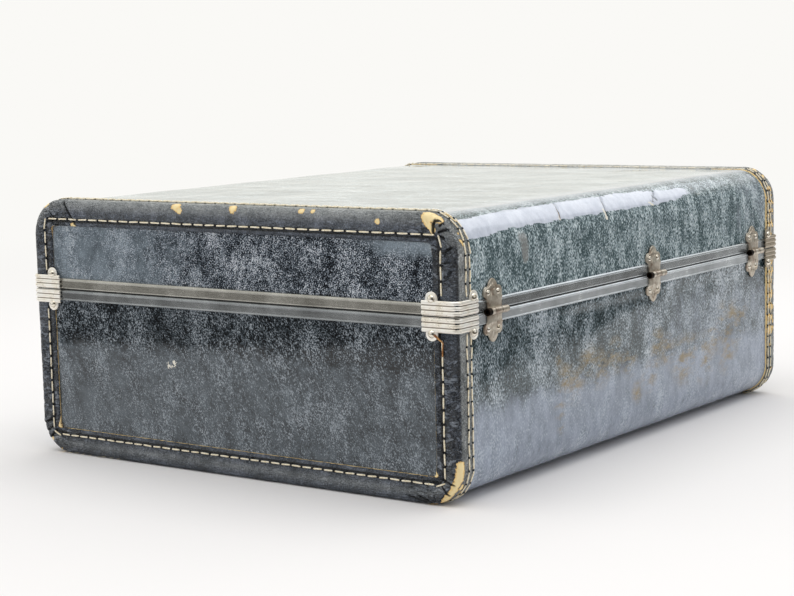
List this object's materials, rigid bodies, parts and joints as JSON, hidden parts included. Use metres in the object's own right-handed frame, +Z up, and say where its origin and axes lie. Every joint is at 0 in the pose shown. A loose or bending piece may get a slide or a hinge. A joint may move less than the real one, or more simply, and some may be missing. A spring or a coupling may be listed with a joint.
{
  "type": "portable typewriter case",
  "caption": "Flat rectangular carrying case with a hinged lid, latches and swinging handle at the front, sewn leather ends, steel rails and ribbed corner clips.",
  "frame": {"origin": "middle of the plane that the case rests on, midway between the two ends and between the front and the back of its walls", "axes": "+X along the length, +Y towards the hinges at the back, +Z up, with the latches and the handle on the -Y face"},
  "size_m": [0.4504, 0.3792, 0.178],
  "materials": {
    "wood_board": "raw bent board, seen only at the rims",
    "bed_plywood": "sanded plywood",
    "covering": "mottled slate fibre under glossy lacquer",
    "end_panel": "mottled slate fibre under glossy lacquer",
    "binding": "worn slate-blue leather, sewn with cream thread",
    "rail_steel": "dulled plated steel strip",
    "clip_nickel": "warm nickel plate, rubbed",
    "nails": "polished nickel",
    "lining": "dark printed lining paper",
    "rubber": "matt black rubber",
    "hinge_metal": "stamped leaf with worn and browned plating",
    "latch_nickel": "worn nickel plate",
    "grip_leather": "leather over a stiff core"
  },
  "bodies": {
    "base": {"base_board": "wood_board", "base_end_boards": "wood_board", "base_covering": "covering", "base_end_panel_left": "end_panel", "base_end_panel_right": "end_panel", "base_binding_left": "binding", "base_binding_right": "binding", "base_rail_front": "rail_steel", "base_rail_back": "rail_steel", "base_rail_left": "rail_steel", "base_rail_right": "rail_steel", "base_corner_clips": "clip_nickel", "base_clip_nails": "nails", "base_lining": "lining", "dust_strips": "rail_steel", "machine_bed": "bed_plywood", "bed_pads": "rubber", "bed_screws": "nails", "hinge_leaf_base_left": "hinge_metal", "hinge_leaf_base_middle": "hinge_metal", "hinge_leaf_base_right": "hinge_metal", "hinge_pins": "hinge_metal", "base_hinge_nails": "nails", "lock_case_left": "latch_nickel", "lock_case_right": "latch_nickel", "lock_nails": "nails", "handle_plate_left": "latch_nickel", "handle_plate_right": "latch_nickel", "handle_nails": "nails"},
    "lid": {"lid_board": "wood_board", "lid_end_boards": "wood_board", "lid_covering": "covering", "lid_end_panel_left": "end_panel", "lid_end_panel_right": "end_panel", "lid_binding_left": "binding", "lid_binding_right": "binding", "lid_rail_front": "rail_steel", "lid_rail_back": "rail_steel", "lid_rail_left": "rail_steel", "lid_rail_right": "rail_steel", "lid_corner_clips": "clip_nickel", "lid_clip_nails": "nails", "lid_lining": "lining", "hinge_leaf_lid_left": "hinge_metal", "hinge_leaf_lid_middle": "hinge_metal", "hinge_leaf_lid_right": "hinge_metal", "lid_hinge_nails": "nails", "hasp_plate_left": "latch_nickel", "hasp_plate_right": "latch_nickel", "hasp_plate_nails": "nails", "hasp_pins": "latch_nickel"},
    "hasp_left": {"hasp_left": "latch_nickel"},
    "hasp_right": {"hasp_right": "latch_nickel"},
    "slide_left": {"slide_button_left": "latch_nickel"},
    "slide_right": {"slide_button_right": "latch_nickel"},
    "handle": {"handle_grip": "grip_leather", "handle_cap_left": "latch_nickel", "handle_cap_right": "latch_nickel"}
  },
  "joints": [
    {"name": "lid_hinge", "type": "hinge", "parent": "base", "child": "lid", "pos_m": [0, 0.18045, 0.116], "axis": [-1, 0, 0], "range_deg": [0, 100]},
    {"name": "hasp_left_hinge", "type": "hinge", "parent": "lid", "child": "hasp_left", "pos_m": [-0.125, -0.1814, 0.13], "axis": [-1, 0, 0], "range_deg": [0, 110]},
    {"name": "hasp_right_hinge", "type": "hinge", "parent": "lid", "child": "hasp_right", "pos_m": [0.125, -0.1814, 0.13], "axis": [-1, 0, 0], "range_deg": [0, 110]},
    {"name": "slide_left_travel", "type": "slide", "parent": "base", "child": "slide_left", "axis": [1, 0, 0], "range_m": [0, 0.005], "stiffness_N_per_m": 200, "springref_m": -0.002},
    {"name": "slide_right_travel", "type": "slide", "parent": "base", "child": "slide_right", "axis": [1, 0, 0], "range_m": [0, 0.005], "stiffness_N_per_m": 200, "springref_m": -0.002},
    {"name": "handle_swing", "type": "hinge", "parent": "base", "child": "handle", "pos_m": [0, -0.1884, 0.064], "axis": [-1, 0, 0], "range_deg": [0, 165]}
  ]
}
